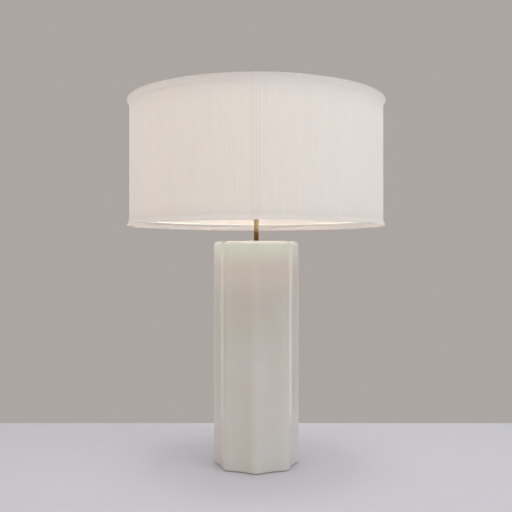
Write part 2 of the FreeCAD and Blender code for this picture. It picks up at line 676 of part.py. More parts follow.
def socket():
    """The lamp socket: cap, shell, insulating liner, core, screw shell, contact and terminal screws."""
    bore = "stem_radius + thread_clearance"
    turned("socket_cap", (bore, "saddle_top"), [
        ("cap_hub_radius", "saddle_top"), ("cap_hub_radius", "dome_bottom"),
        ("cap_radius", "dome_top", "dome_radius", -1), ("cap_radius", "cap_top"),
        ("cap_inside", "cap_top"), ("cap_inside", "dome_top"),
        ("cap_hub_radius", "dome_bottom + cap_wall", "dome_radius - cap_wall", 1),
        (bore, "dome_bottom + cap_wall"), (bore, "saddle_top")])

    lip = "shell_inside - shell_lip"
    shell = turned("socket_shell", (lip, "shell_bottom"), [
        ("shell_radius", "shell_bottom"), ("shell_radius", "shell_top"), (lip, "shell_top"),
        (lip, "liner_top"), ("shell_inside", "liner_top"), ("shell_inside", "liner_bottom"),
        (lip, "liner_bottom"), (lip, "shell_bottom")])
    liner = ring_piece("socket_liner", "liner_inside", "liner_radius", "liner_bottom",
                       "liner_top - liner_bottom")
    core = turned("socket_core", ("0", "core_bottom"), [
        ("core_radius", "core_bottom"), ("core_radius", "core_top"), ("0", "core_top"), ("0", "core_bottom")])
    shaft_hole = "switch_shaft_radius + switch_shaft_clearance"
    for piece, radius, start in ((shell, "shell_hole_radius", "0"), (liner, "shell_hole_radius", "0"),
                                 (core, shaft_hole, "shaft_start - switch_end_clearance")):
        outline = sketch_on(piece, "SwitchHoleOutline", "XZ_Plane", rise=start)
        circle(outline, radius, y="switch_level")
        pocket(piece, "SwitchHole", outline, "shell_radius", back=True)

    rim = "core_top + screw_shell_height"
    floor = "core_top + screw_shell_wall"
    turned("screw_shell", ("screw_shell_opening", "core_top"), [
        ("screw_shell_outside", "core_top"), ("screw_shell_outside", rim), ("screw_shell_radius", rim),
        ("screw_shell_radius", floor), ("screw_shell_opening", floor), ("screw_shell_opening", "core_top")])
    turned("centre_contact", ("0", "core_top"), [
        ("contact_radius", "core_top"), ("contact_radius", "core_top + contact_height / 3"),
        ("contact_radius / 2", "tip_bottom"), ("0", "tip_bottom"), ("0", "core_top")])

    screws = []
    for side, sign in (("left", "-"), ("right", "")):
        screw = doc.addObject("Part::Cylinder", f"terminal_screw_{side}")
        screw.setExpression("Radius", bound("terminal_screw_radius"))
        screw.setExpression("Height", bound("terminal_screw_height"))
        place(screw, x=f"{sign}terminal_screw_offset", z="core_bottom - terminal_screw_height")
        screws.append(screw)
    pair = doc.addObject("Part::Compound", "terminal_screws")
    pair.Links = screws
    keep("terminal_screws", pair)


def switch():
    """The turn switch at the front: a steel shaft in the socket's core and a grooved knob on it."""
    shaft = turned("switch_shaft", ("0", "shaft_start"), [
        ("switch_shaft_radius", "shaft_start"), ("switch_shaft_radius", "shaft_end"), ("0", "shaft_end"),
        ("0", "shaft_start")])
    facing_front(shaft)
    body = new_body("Knob")
    outline = sketch_on(body, "Outline", rise="knob_start")
    circle(outline, "knob_radius")
    pad(body, "Blank", outline, "knob_length")
    groove = sketch_on(body, "GrooveOutline", rise="knob_start")
    circle(groove, "knob_groove_radius", x="knob_radius + knob_groove_radius / 2")
    cut = pocket(body, "Groove", groove, "knob_length", back=True)
    grooves = lap_round(body, "Grooves", cut, "knob_groove_count")
    crown = value("knob_start + knob_length")
    soften(body, "Crown", grooves, lies_at(crown), "knob_round")
    socket_outline = sketch_on(body, "SocketOutline", rise="knob_start")
    circle(socket_outline, "switch_shaft_radius")
    pocket(body, "Socket", socket_outline, "knob_socket_depth", back=True)
    facing_front(keep("switch_knob", body))


def bulb():
    """A frosted globe bulb in its screw base, with its tip, its insulator and the lights inside."""
    cone_foot = "tip_top + bulb_cone_height / 2"
    middle = "(bulb_tip_radius + bulb_thread_radius) / 2"
    turned("bulb_tip", ("0", "tip_bottom"), [
        ("bulb_tip_radius / 2", "tip_bottom"), ("bulb_tip_radius", "tip_top"), ("0", "tip_top"),
        ("0", "tip_bottom")])
    turned("bulb_insulator", ("0", "tip_top"), [
        ("bulb_tip_radius", "tip_top"), (middle, cone_foot), ("0", cone_foot), ("0", "tip_top")])
    inner = "bulb_thread_radius - bulb_base_wall"
    turned("bulb_screw_base", ("0", cone_foot), [
        (middle, cone_foot), ("bulb_thread_radius", "base_bottom"), ("bulb_thread_radius", "base_top"),
        (inner, "base_top"), (inner, "base_bottom + bulb_base_wall"), ("0", "base_bottom + bulb_base_wall"),
        ("0", cone_foot)])
    neck_foot = "base_top - neck_depth"
    neck_inside = "neck_radius - glass_thickness"
    turned("bulb_globe", ("neck_radius", neck_foot), [
        ("neck_radius", "base_top"),
        ("neck_meets", "neck_meets_level", "neck_sweep", 1),
        ("0", "globe_level + globe_radius", "globe_radius", -1),
        ("0", "globe_level + globe_radius - glass_thickness"),
        ("inner_meets", "inner_meets_level", "globe_radius - glass_thickness", 1),
        (neck_inside, "base_top", "neck_sweep + glass_thickness", -1),
        (neck_inside, neck_foot),
        ("neck_radius", neck_foot)])
    collar = "filament_ring_radius + 2 * filament_radius"
    collar_top = "base_top + filament_rise"
    upper = f"{collar_top} + filament_length"
    turned("bulb_mount", ("0", neck_foot), [
        (neck_inside, neck_foot), (neck_inside, f"{neck_foot} + mount_thickness"),
        ("mount_stem_radius", "base_top"), ("mount_stem_radius", f"{collar_top} - mount_thickness"),
        (collar, f"{collar_top} - mount_thickness"), (collar, collar_top), ("mount_stem_radius", collar_top),
        ("mount_stem_radius", upper), (collar, upper), (collar, f"{upper} + mount_thickness"),
        ("0", f"{upper} + mount_thickness"), ("0", neck_foot)])
    rods = []
    count = round(value("filament_count"))
    step = 360 / count
    for number in range(count):
        rod = doc.addObject("Part::Cylinder", f"filament_{number + 1}")
        rod.setExpression("Radius", bound("filament_radius"))
        rod.setExpression("Height", bound("filament_length"))
        place(rod, f"filament_ring_radius * cos({number * step} deg)",
              f"filament_ring_radius * sin({number * step} deg)", collar_top)
        rods.append(rod)
    group = doc.addObject("Part::Compound", "bulb_filaments")
    group.Links = rods
    keep("bulb_filaments", group)


def shade_frame():
    """The shade's wires: two rings, and arms from the upper ring down to the hub on the harp."""
    ring_piece("spider_hub", "stud_radius + hub_clearance", "hub_radius", "hub_bottom", "hub_thickness")
    count = round(value("arm_count"))
    for number in range(count):
        label = f"spider_arm_{number + 1}"
        body, _ = piped(
            label, ("arm_start", "arm_height"), [
                ("arm_end - arm_bend", "arm_height"),
                ("arm_end", "arm_height + arm_bend", "arm_bend", -1),
                ("arm_end", "upper_ring + ring_wire_radius")],
            "YZ_Plane", "arm_start", "0", "arm_height", "arm_wire_radius")
        body.Placement.Rotation = FreeCAD.Rotation(V(0, 0, 1), 90 + 360 * number / count)
        keep(label, body)
    for label, level in (("lower_ring", "lower_ring"), ("upper_ring", "upper_ring")):
        ring = doc.addObject("Part::Torus", label)
        ring.setExpression("Radius1", bound("ring_radius"))
        ring.setExpression("Radius2", bound("ring_wire_radius"))
        place(ring, z=level)
        keep(label, ring)


def shade_cover():
    """The drum of pleated cloth as one even wall: straight between the rings, flared past each of them."""
    rim = "shade_radius + shade_flare"
    inner = "shade_radius - cover_thickness"
    inner_rim = f"{rim} - cover_thickness"
    turned("shade_cover", (rim, "shade_bottom"), [
        ("shade_radius", "lower_ring", "flare_radius", 1), ("shade_radius", "upper_ring"),
        (rim, "shade_top", "flare_radius", 1), (inner_rim, "shade_top"),
        (inner, "upper_ring", "flare_radius", -1), (inner, "lower_ring"),
        (inner_rim, "shade_bottom", "flare_radius", -1), (rim, "shade_bottom")])


def finial():
    """The finial: a flared base on the hub, a neck and a ball, bored for the harp's stud."""
    bore = "stud_radius + finial_clearance"
    base_top = "hub_top + finial_base_height"
    bore_top = "hub_bottom + stud_length + finial_bore_spare"
    turned("finial", (bore, "hub_top"), [
        ("finial_base_radius", "hub_top"), ("finial_base_radius", "hub_top + finial_base_height / 2"),
        ("finial_neck_radius", base_top), ("finial_neck_radius", f"{base_top} + finial_neck_height"),
        ("0", "finial_ball_level + finial_ball_radius", "finial_ball_radius", -1),
        ("0", bore_top), (bore, bore_top), (bore, "hub_top")])


ceramic_column()
foot()
cord_inlet()
stem()
harp_saddle()
harp()
socket()
switch()
bulb()
shade_frame()
shade_cover()
finial()
doc.recompute()

faults = [f"{item.Name}: {item.State}" for item in doc.Objects if {"Invalid", "Error"} & set(item.State)]
for label, thing in nodes.items():
    if thing.Shape.isNull() or not thing.Shape.isValid() or not thing.Shape.Solids:
        faults.append(f"{label}: no valid solid")
if faults:
    sys.exit("\n".join(faults))

os.makedirs("parts", exist_ok=True)
for label, thing in nodes.items():
    thing.Shape.exportStep(f"parts/{label}.step")
    print(f"{label}: {len(thing.Shape.Solids)} solid(s), {thing.Shape.Volume / 1000:.2f} cm3")
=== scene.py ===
import json
import math
import bmesh
import bpy
import numpy as np
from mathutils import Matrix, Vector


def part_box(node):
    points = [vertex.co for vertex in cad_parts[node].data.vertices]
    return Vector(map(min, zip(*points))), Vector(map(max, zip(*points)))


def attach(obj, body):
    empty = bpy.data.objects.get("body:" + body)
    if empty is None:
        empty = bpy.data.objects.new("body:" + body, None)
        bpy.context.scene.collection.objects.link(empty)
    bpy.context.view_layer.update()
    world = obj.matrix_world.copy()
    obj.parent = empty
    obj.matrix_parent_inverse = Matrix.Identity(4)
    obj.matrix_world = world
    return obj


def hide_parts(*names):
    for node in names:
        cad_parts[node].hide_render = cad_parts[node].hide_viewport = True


# The looks of a column table lamp: a fluted, glazed ceramic column, a brass stem and a pleated drum shade.
# Metres, +Z up, the front of the lamp towards -Y. Colours are written as display values from 0 to 255.

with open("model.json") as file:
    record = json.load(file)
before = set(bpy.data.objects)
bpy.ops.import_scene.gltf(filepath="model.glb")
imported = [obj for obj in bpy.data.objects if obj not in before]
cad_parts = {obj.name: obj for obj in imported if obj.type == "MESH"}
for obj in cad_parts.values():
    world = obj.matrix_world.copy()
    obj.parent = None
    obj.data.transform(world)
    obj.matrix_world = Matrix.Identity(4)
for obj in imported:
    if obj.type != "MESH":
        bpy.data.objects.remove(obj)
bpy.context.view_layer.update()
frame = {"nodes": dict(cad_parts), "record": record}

# The lamp's front, as an angle about its axis.
FRONT = -math.pi / 2

# Camera and floor, as the photograph was taken: level, with the floor's far edge behind the lamp.
CAMERA_PLACE = (-0.0005, -1.4166, 0.411)
LENS_MM = 50.0
SENSOR_MM = 36.0
FLOOR_BACK = 0.333
FLOOR_FRONT = -1.30
FLOOR_HALF_WIDTH = 1.40
FLOOR_THICKNESS = 0.02
FLOOR_COLOUR = (210, 209, 214)
FLOOR_CLOUDS = (212, 211, 216)

# The room: its even light, and the plain wall that the camera and the gloss see. Gloss that looks towards
# the front sees the dim colour instead, which gives way between two shares of straight back.
ROOM_STRENGTH = 0.79
ROOM_COLOUR = (250, 249, 250)
WALL_COLOUR = (172, 166, 162)
DIM_COLOUR = (120, 92, 58)
DIM_TO_PLAIN = (-0.1, 0.9)

# Soft lights: name, place, the point that each is turned to, width and height, watts and colour. The key
# light is high, so that the shade keeps it off the column's top. The two behind the lamp, whose middles are
# below the floor's level, draw the bright lines on the ridges at the sides.
BACK_LEVEL = -0.105
STUDIO_LIGHTS = (
    ("key_right", (1.9, -1.5, 2.3), (0, 0, 0.2), (1.8, 1.8), 17.5, (230, 239, 255)),
    ("fill_left", (-1.9, -1.9, 1.3), (0, 0, 0.15), (1.6, 1.0), 4.2, (255, 242, 224)),
    ("back_left", (-1.23, 1.98, BACK_LEVEL), (0, 0, BACK_LEVEL), (0.75, 1.1), 0.85, (255, 244, 226)),
    ("back_right", (1.23, 1.98, BACK_LEVEL), (0, 0, BACK_LEVEL), (0.75, 1.1), 1.25, (255, 255, 255)),
)

# The lit bulb. Its light is a sphere a little larger than the globe, and the glow of the glass grows
# through a band of heights above the globe's foot.
BULB_LIGHT_WATTS = 39.0
BULB_LIGHT_COLOUR = (255, 250, 241)
BULB_LIGHT_MARGIN = 0.001
GLOW_BAND = (0.0018, 0.0448)

# Pleated cloth of the shade. Each pleat draws its lean and its share of the depth between two limits. Slow
# waves are pairs of how often they come in a turn and their size.
PLEATS = 400
POINTS_PER_PLEAT = 8
PLEAT_DEPTH = 0.0003
PLEAT_LEANS = (0.40, 0.60)
PLEAT_DEPTH_SHARES = (0.75, 1.0)
PLEAT_SEED = 7
BODY_ROWS = 5
FLARE_WAVES = ((3, 0.0002), (7, 0.0002), (13, 0.0001))
RIM_WAVES = ((5, 0.0002), (11, 0.0001))
SEAM_ALLOWANCE = 0.0057
SEAM_THICKNESS = 0.0004
SEAM_EDGE = 0.0005

# The rows of a rim, from its ring out to the edge, over it and back inside as a hem: the share of the way
# out, and the way inward and past the edge in hem thicknesses.
HEM_THICKNESS = 0.0012
RIM_REACH = (0.17, 0.33, 0.5, 0.67, 0.83, 1, 1, 1, 1, 0.92)
RIM_INWARD = (0, 0, 0, 0, 0, 0, 0.25, 0.75, 1, 1)
RIM_PAST = (0, 0, 0, 0, 0, 0, 0.43, 0.43, 0, 0)

# Tones of the cloth. Painted shade makes it a little darker near both rims, from bands of heights that are
# given from the upper and the lower edge, and painted shadow lines lie along the seam's folded edges, which
# fade between two distances.
CLOTH_DARK = (236, 228, 219)
CLOTH_LIGHT = (241, 233, 224)
CLOTH_RIM_SHADE = (232, 224, 217)
CLOTH_SEAM_SHADE = (227, 219, 210)
CLOTH_LIT_THROUGH = (239, 231, 222)
CLOTH_THROUGH_SHARE = 0.12
UPPER_RIM_SHADE_BAND = (-0.048, -0.006)
LOWER_RIM_SHADE_BAND = (0.0055, 0.0375)
LOWER_RIM_SHADE_SHARE = 0.5
SEAM_SHADE_LINE = (0.0003, 0.0010)
THREAD_SCALE = 260.0

# Fluted column: an outline of rounded ridges and shallow hollow flutes, one ridge facing the front.
RIDGES = 8
RIDGE_ROUND = 0.016
FLUTE_DEPTH = 0.0028
RIDGE_STEPS = 14
FLUTE_STEPS = 19
SHOULDER_ROUND = 0.008
SHOULDER_STEPS = 9
FOOT_ROUND = 0.0015
FOOT_STEPS = 4
COLUMN_WALL = 0.008
TOP_HOLE = 0.0055
FOOT_RECESS = 0.0657
FOOT_RECESS_DEPTH = 0.012
FLOOR_OPENING = 0.0487

# The window for the cord's bush: its flute, counted anticlockwise from 0 beside the front ridge, and its
# size. The rows of the outer wall above it keep a distance from the window and from the top.
INLET_FLUTE = 4
INLET_STEPS = 5
INLET_HALF_HEIGHT = 0.0061
WALL_ABOVE_INLET = 0.006
WALL_BELOW_TOP = 0.012
WALL_ROWS = 46

# Slow waves of the glaze: how often each comes in a turn, how many radians it turns in a metre of height,
# where it starts, and its share of the size. They die out over a short way at the foot and at the top.
GLAZE_WAVE = 0.00012
GLAZE_WAVES = ((3, 17, 0, 1.0), (5, -31, 1, 0.6), (2, 47, 2, 0.5))
WAVE_FADE = 0.02

# Tones of the glaze, and the bands in which they grow, as heights from the column's top. The warm band is
# painted glow: the glaze is painted lighter and warmer towards the top, as if lit from the shade above. The
# pool is a greener tint where the glaze pools, painted paler still as glow from the shade; it follows the
# streaks, and its share lies between two limits. The glaze thins between two radii on each ridge, where its
# tone has a small share. The gloss is the least and the greatest roughness.
GLAZE_GREY = (210, 202, 190)
GLAZE_CLOUD = (211, 208, 200)
GLAZE_PAINTED_GLOW = (231, 221, 208)
GLAZE_POOL_AND_GLOW = (248, 254, 236)
GLAZE_SHOULDER = (222, 216, 206)
GLAZE_TOP = (196, 191, 180)
GLAZE_THIN = (228, 224, 214)
PAINTED_GLOW_BAND = (-0.130, -0.030)
POOL_AND_GLOW_BAND = (-0.055, -0.004)
SHOULDER_BAND = (-0.005, -0.001)
TOP_BAND = (-0.0008, -0.0001)
POOL_AND_GLOW_SHARES = (0.65, 1.25)
THIN_RADII = (0.0765, 0.0842)
THIN_SHARE = 0.15
PIT_SHARE = 0.02
GLAZE_GLOSS = (0.13, 0.23)

# Felt under the foot. Its rows go from the middle of the underside out, up the edge and back in: each is a
# share of the outline, lifted by a share of the thickness.
FELT_INSET = 0.0015
FELT_SHARES = (0, 0.25, 0.5, 0.75, 0.96, 0.995, 1, 0.995, 0.96, 0.75, 0.5, 0.25, 0)
FELT_LIFTS = (0, 0, 0, 0, 0, 0.1, 0.5, 0.9, 1, 1, 1, 1, 1)

# Rolled thread of the bulb's base, which ends a number of pitches below the base's upper edge.
THREAD_PITCH = 0.00363
THREAD_DEPTH = 0.0008
THREAD_WALL = 0.0004
THREAD_ROWS = 64
THREAD_COLUMNS = 64
THREAD_END = 1.3

# Edges that turn by more degrees than the crease stay sharp, and points closer than the gap are merged.
CREASE = 35
FELT_CREASE = 60
MERGED_GAP = 1e-7


def linear(colour):
    """Display values from 0 to 255 as the linear colour that a shader takes, by the sRGB curve."""
    share = np.asarray(colour, float) / 255
    low, high = share / 12.92, ((share + 0.055) / 1.055) ** 2.4
    return (*np.where(share <= 0.04045, low, high), 1.0)


class Wire:
    """One output of a shader node. Arithmetic on it adds Math nodes, and add() places any other node."""

    def __init__(self, tree, node=None, out=0):
        self.tree = tree
        self.node = node
        self.socket = node.outputs[out] if node and node.outputs else None

    def out(self, name):
        """Another output of the same node."""
        return Wire(self.tree, self.node, name)

    def add(self, kind, settings=None, inputs=None, out=0):
        """Places a node: its settings first, then the values or links of its sockets."""
        node = self.tree.nodes.new(f"ShaderNode{kind}")
        for name, value in (settings or {}).items():
            setattr(node, name, value)
        for name, value in (inputs or {}).items():
            if isinstance(value, Wire):
                self.tree.links.new(value.socket, node.inputs[name])
            else:
                node.inputs[name].default_value = value
        return Wire(self.tree, node, out)

    def maths(self, operation, *values):
        """A Math node of this value and any others."""
        return self.add("Math", {"operation": operation}, dict(enumerate((self, *values))))

    def __add__(self, other):
        return self.maths("ADD", other)

    def __sub__(self, other):
        return self.maths("SUBTRACT", other)

    def __mul__(self, other):
        return self.maths("MULTIPLY", other)

    def __rsub__(self, other):
        return (self * -1.0) + other

    __radd__ = __add__
    __rmul__ = __mul__

    def parts(self):
        """The three parts of a vector."""
        x = self.add("SeparateXYZ", None, {"Vector": self})
        return x, x.out("Y"), x.out("Z")

    def between(self, low, high):
        """0 below low, 1 above high and smooth in between."""
        return self.add("MapRange", {"interpolation_type": "SMOOTHSTEP"},
                        {"Value": self, "From Min": low, "From Max": high})

    def spread(self, low, high):
        """Low where the value is 0 and high where it is 1."""
        return self * (high - low) + low

    def blend(self, other, share):
        """This value mixed with a share of another."""
        return self * (1 - share) + other * share

    def tint(self, first, second):
        """One colour where the value is 0 and another where it is 1. Either may be a wire."""
        colours = [colour if isinstance(colour, Wire) else linear(colour) for colour in (first, second)]
        return self.add("Mix", {"data_type": "RGBA"}, {0: self, 6: colours[0], 7: colours[1]}, out=2)


def new_material(name):
    """An empty material and the wire that starts its nodes."""
    material = bpy.data.materials.new(name)
    material.use_nodes = True
    material.node_tree.nodes.clear()
    return material, Wire(material.node_tree)


def finish_material(material, shader):
    """Joins a material's last shader to its output."""
    shader.add("OutputMaterial", None, {"Surface": shader})
    return material


def place_in(start):
    """Where a point is in the piece, in metres."""
    return start.add("TexCoord", None, None, out="Object")


def climb(start, level, band):
    """0 below a band of heights, 1 above it and smooth in between. The band is given from a level."""
    height = place_in(start).parts()[2]
    return height.between(level + band[0], level + band[1])


def noise(start, scale, detail=2.0, roughness=0.5, stretch=(1, 1, 1)):
    """Soft noise, whose scale is in lumps to a metre along each axis that isn't stretched."""
    place = start.add("Mapping", None, {"Vector": place_in(start), "Scale": stretch})
    sockets = {"Vector": place, "Scale": scale, "Detail": detail, "Roughness": roughness}
    return start.add("TexNoise", None, sockets)


def bump(start, height, distance, strength=1.0):
    """A surface raised by up to the distance where the height is 1."""
    return start.add("Bump", None, {"Height": height, "Distance": distance, "Strength": strength})


def principled(start, colour, roughness, normal=None, **sockets):
    """The main shader; words in a socket's name are joined by underscores."""
    inputs = {"Base Color": colour if isinstance(colour, Wire) else linear(colour), "Roughness": roughness}
    inputs.update({name.replace("_", " "): value for name, value in sockets.items()})
    if normal is not None:
        inputs["Normal"] = normal
    return start.add("BsdfPrincipled", None, inputs)


def glazed_ceramic():
    """Ivory glaze: greener where it pools near the shoulder and paler on the ridges. Painted glow makes it
    lighter and warmer towards the top and paler still in the pool, as if lit from the shade above.

    It lies in soft waves with fine pits. The shoulder and the top face have tones of their own.
    """
    material, start = new_material("ivory_glaze")
    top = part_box("ceramic_column")[1].z
    x, y, _ = place_in(start).parts()
    thin = (x * x + y * y).maths("SQRT").between(*THIN_RADII)
    streaks = noise(start, scale=20, detail=4, roughness=0.55, stretch=(1, 1, 0.4))
    clouds = noise(start, scale=9)
    body = streaks.blend(clouds, 0.5).between(0.35, 0.65).tint(GLAZE_GREY, GLAZE_CLOUD)
    # Painted glow: the glaze is painted lighter and warmer towards the top, as if lit from the shade above.
    body = climb(start, top, PAINTED_GLOW_BAND).tint(body, GLAZE_PAINTED_GLOW)
    # A greener tint where the glaze pools, also painted paler as glow from the lit shade above.
    body = (climb(start, top, POOL_AND_GLOW_BAND) * streaks.spread(*POOL_AND_GLOW_SHARES)).tint(body, GLAZE_POOL_AND_GLOW)
    body = climb(start, top, SHOULDER_BAND).tint(body, GLAZE_SHOULDER)
    body = climb(start, top, TOP_BAND).tint(body, GLAZE_TOP)
    body = (thin * THIN_SHARE).tint(body, GLAZE_THIN)
    waves = noise(start, scale=34, stretch=(1, 1, 0.5))
    pits = noise(start, scale=900, detail=1)
    normal = bump(start, waves + pits * PIT_SHARE, distance=0.0005)
    gloss = noise(start, scale=60, roughness=0.6).spread(*GLAZE_GLOSS)
    shader = principled(start, body, gloss, normal, Coat_Weight=0.35, Coat_Roughness=0.06, IOR=1.5)
    return finish_material(material, shader)


def woven_threads(start, along, direction):
    """The threads that lie side by side along one direction of the cloth."""
    settings = {"wave_type": "BANDS", "bands_direction": direction}
    sockets = {"Scale": THREAD_SCALE, "Distortion": 0.6, "Detail": 1.0, "Detail Scale": 6.0}
    return start.add("TexWave", settings, {"Vector": along, **sockets})


def shade_cloth():
    """Thin warm-white cloth that lets the bulb's light through, with a fine weave, painted shade near both
    rims and painted shadow lines along the seam.
    """
    material, start = new_material("pleated_cloth")
    low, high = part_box("shade_cover")
    # Bands of painted shade near the upper and the lower rim.
    upper = climb(start, high.z, UPPER_RIM_SHADE_BAND)
    lower = 1 - climb(start, low.z, LOWER_RIM_SHADE_BAND)
    along = start.add("UVMap", {"uv_map": "cloth"})
    across = along.parts()[0].maths("ABSOLUTE")
    from_seam_shade = across.maths("MINIMUM", (across - SEAM_ALLOWANCE).maths("ABSOLUTE"))
    threads = woven_threads(start, along, "X").blend(woven_threads(start, along, "Y"), 0.5)
    slubs = noise(start, scale=240, detail=3, roughness=0.6, stretch=(1, 1, 0.08))
    colour = slubs.blend(threads, 0.3).between(0.30, 0.72).tint(CLOTH_DARK, CLOTH_LIGHT)
    # Painted shade: the cloth is darker near both rims, where less light comes through.
    colour = (upper + lower * LOWER_RIM_SHADE_SHARE).tint(colour, CLOTH_RIM_SHADE)
    # Painted shadow lines along the folded edges of the seam.
    colour = from_seam_shade.between(*SEAM_SHADE_LINE).tint(CLOTH_SEAM_SHADE, colour)
    normal = bump(start, threads + slubs, distance=0.00012, strength=0.6)
    front = principled(start, colour, roughness=0.85, normal=normal, Sheen_Weight=0.25,
                       Sheen_Roughness=0.5, Specular_IOR_Level=0.2)
    through = start.add("BsdfTranslucent", None, {"Color": linear(CLOTH_LIT_THROUGH), "Normal": normal})
    shader = start.add("MixShader", None, {0: CLOTH_THROUGH_SHARE, 1: front, 2: through})
    return finish_material(material, shader)


def metal(name, dark, light, roughness, grain=(1, 1, 1), unevenness=0.12):
    """Metal with cloudy tarnish and fine brush marks along one axis."""
    material, start = new_material(name)
    tarnish = noise(start, scale=70, detail=4, roughness=0.6)
    marks = noise(start, scale=1400, roughness=0.6, stretch=grain)
    colour = tarnish.blend(marks, 0.3).between(0.3, 0.7).tint(dark, light)
    rough = (marks + tarnish) * unevenness + (roughness - unevenness)
    normal = bump(start, marks, distance=0.00004, strength=0.5)
    return finish_material(material, principled(start, colour, rough, normal, Metallic=1.0))


def enamel(name, colour, worn, roughness):
    """Sprayed paint or moulded plastic: a faint orange-peel surface and slightly varied colour."""
    material, start = new_material(name)
    spots = noise(start, scale=260, detail=3, roughness=0.6)
    peel = noise(start, scale=1500)
    tone = spots.between(0.35, 0.7).tint(colour, worn)
    rough = spots.spread(roughness - 0.05, roughness + 0.05)
    normal = bump(start, peel, distance=0.00003, strength=0.5)
    return finish_material(material, principled(start, tone, rough, normal))


def felt_fibre():
    """Pressed felt: tangled fibres of two tones, with a soft nap."""
    material, start = new_material("pressed_felt")
    fibres = noise(start, scale=1800, detail=5, roughness=0.75, stretch=(1, 1.4, 1))
    clumps = noise(start, scale=220, detail=3, roughness=0.6)
    colour = fibres.blend(clumps, 0.3).between(0.35, 0.65).tint((146, 142, 138), (186, 181, 176))
    normal = bump(start, fibres, distance=0.0004, strength=0.9)
    shader = principled(start, colour, roughness=0.95, normal=normal, Sheen_Weight=0.5,
                        Specular_IOR_Level=0.1)
    return finish_material(material, shader)


def opal_glass():
    """Frosted glass lit from within: bright in the middle of the globe and dimmer towards the neck."""
    material, start = new_material("lit_opal_glass")
    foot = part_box("bulb_globe")[0].z
    glow = climb(start, foot, GLOW_BAND).tint((196, 150, 98), (255, 240, 214))
    haze = noise(start, scale=120).tint((240, 236, 228), (250, 247, 240))
    shader = principled(start, haze, roughness=0.35, Emission_Strength=0.8, Emission_Color=glow)
    return finish_material(material, shader)


def board():
    """Brown insulating board with a paper grain."""
    material, start = new_material("insulating_board")
    grain = noise(start, scale=500, detail=4, roughness=0.7, stretch=(1, 1, 0.2))
    colour = grain.between(0.3, 0.7).tint((138, 108, 76), (168, 138, 104))
    normal = bump(start, grain, distance=0.0001, strength=0.6)
    return finish_material(material, principled(start, colour, roughness=0.85, normal=normal))


def plain_floor():
    """The floor's finish: one pale colour with the faintest unevenness."""
    material, start = new_material("pale_floor")
    tone = noise(start, scale=3).tint(FLOOR_COLOUR, FLOOR_CLOUDS)
    return finish_material(material, principled(start, tone, roughness=0.6, Specular_IOR_Level=0.2))


FINISHES = {
    "ceramic": glazed_ceramic(),
    "felt": felt_fibre(),
    "steel": metal("zinc_steel", (158, 158, 156), (192, 192, 190), roughness=0.34),
    "brass": metal("aged_brass", (200, 174, 132), (220, 196, 156), roughness=0.10, grain=(1, 1, 0.06),
                   unevenness=0.03),
    "rubber": enamel("ivory_bush", (214, 208, 194), (202, 195, 180), roughness=0.6),
    "cardboard": board(),
    "phenolic": enamel("moulded_phenolic", (38, 34, 31), (52, 46, 41), roughness=0.4),
    "aluminium": metal("rolled_aluminium", (186, 187, 188), (214, 215, 216), roughness=0.32),
    "black_glass": enamel("fused_glass", (16, 16, 20), (26, 26, 32), roughness=0.15),
    "opal_glass": opal_glass(),
    "filament": enamel("light_strips", (240, 206, 128), (246, 220, 150), roughness=0.6),
    "white_wire": enamel("white_enamel", (246, 243, 236), (238, 234, 226), roughness=0.45),
    "cloth": shade_cloth(),
}


def grid_faces(rows, columns, closed_along=False):
    """Corners of every face of a grid that closes round its columns, and closes along its rows if asked."""
    last = rows if closed_along else rows - 1
    row, column = np.meshgrid(np.arange(last), np.arange(columns), indexing="ij")
    here, above = row * columns, (row + 1) % rows * columns
    beside = (column + 1) % columns
    return np.stack([here + column, here + beside, above + beside, above + column], 2)


def placed(name, data):
    """A new object of a mesh, a light or a camera, in the scene."""
    thing = bpy.data.objects.new(name, data)
    bpy.context.scene.collection.objects.link(thing)
    return thing


def mesh_object(name, points, faces, material, uv=None):
    """A mesh object of points and four-cornered faces. Faces that point outwards run anticlockwise."""
    points, faces = points.reshape(-1, 3), faces.reshape(-1, 4)
    mesh = bpy.data.meshes.new(name)
    mesh.vertices.add(len(points))
    mesh.vertices.foreach_set("co", points.astype(np.float32).ravel())
    mesh.loops.add(faces.size)
    mesh.loops.foreach_set("vertex_index", faces.astype(np.int32).ravel())
    mesh.polygons.add(len(faces))
    mesh.polygons.foreach_set("loop_start", np.arange(0, faces.size, 4, dtype=np.int32))
    if uv is not None:
        mesh.uv_layers.new(name="cloth").data.foreach_set("uv", uv.astype(np.float32).ravel())
    mesh.update(calc_edges=True)
    mesh.shade_smooth()
    mesh.materials.append(material)
    return placed(name, mesh)


def close_poles(thing, crease=CREASE):
    """Merges the points that meet at a pole, and keeps the edges sharp that turn more than the crease."""
    form = bmesh.new()
    form.from_mesh(thing.data)
    bmesh.ops.remove_doubles(form, verts=form.verts, dist=MERGED_GAP)
    form.to_mesh(thing.data)
    form.free()
    thing.data.set_sharp_from_angle(angle=math.radians(crease))


def upright(flat, levels):
    """Points in space from points of the plan, written as complex numbers, and their levels."""
    return np.stack([flat.real, flat.imag, np.broadcast_to(levels, flat.shape)], -1)


def smooth_steps(value):
    """0 below 0, 1 above 1 and an even S in between."""
    share = np.clip(value, 0, 1)
    return share * share * (3 - 2 * share)


def middle_height(node):
    """The height of a node's middle."""
    low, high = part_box(node)
    return (low.z + high.z) / 2


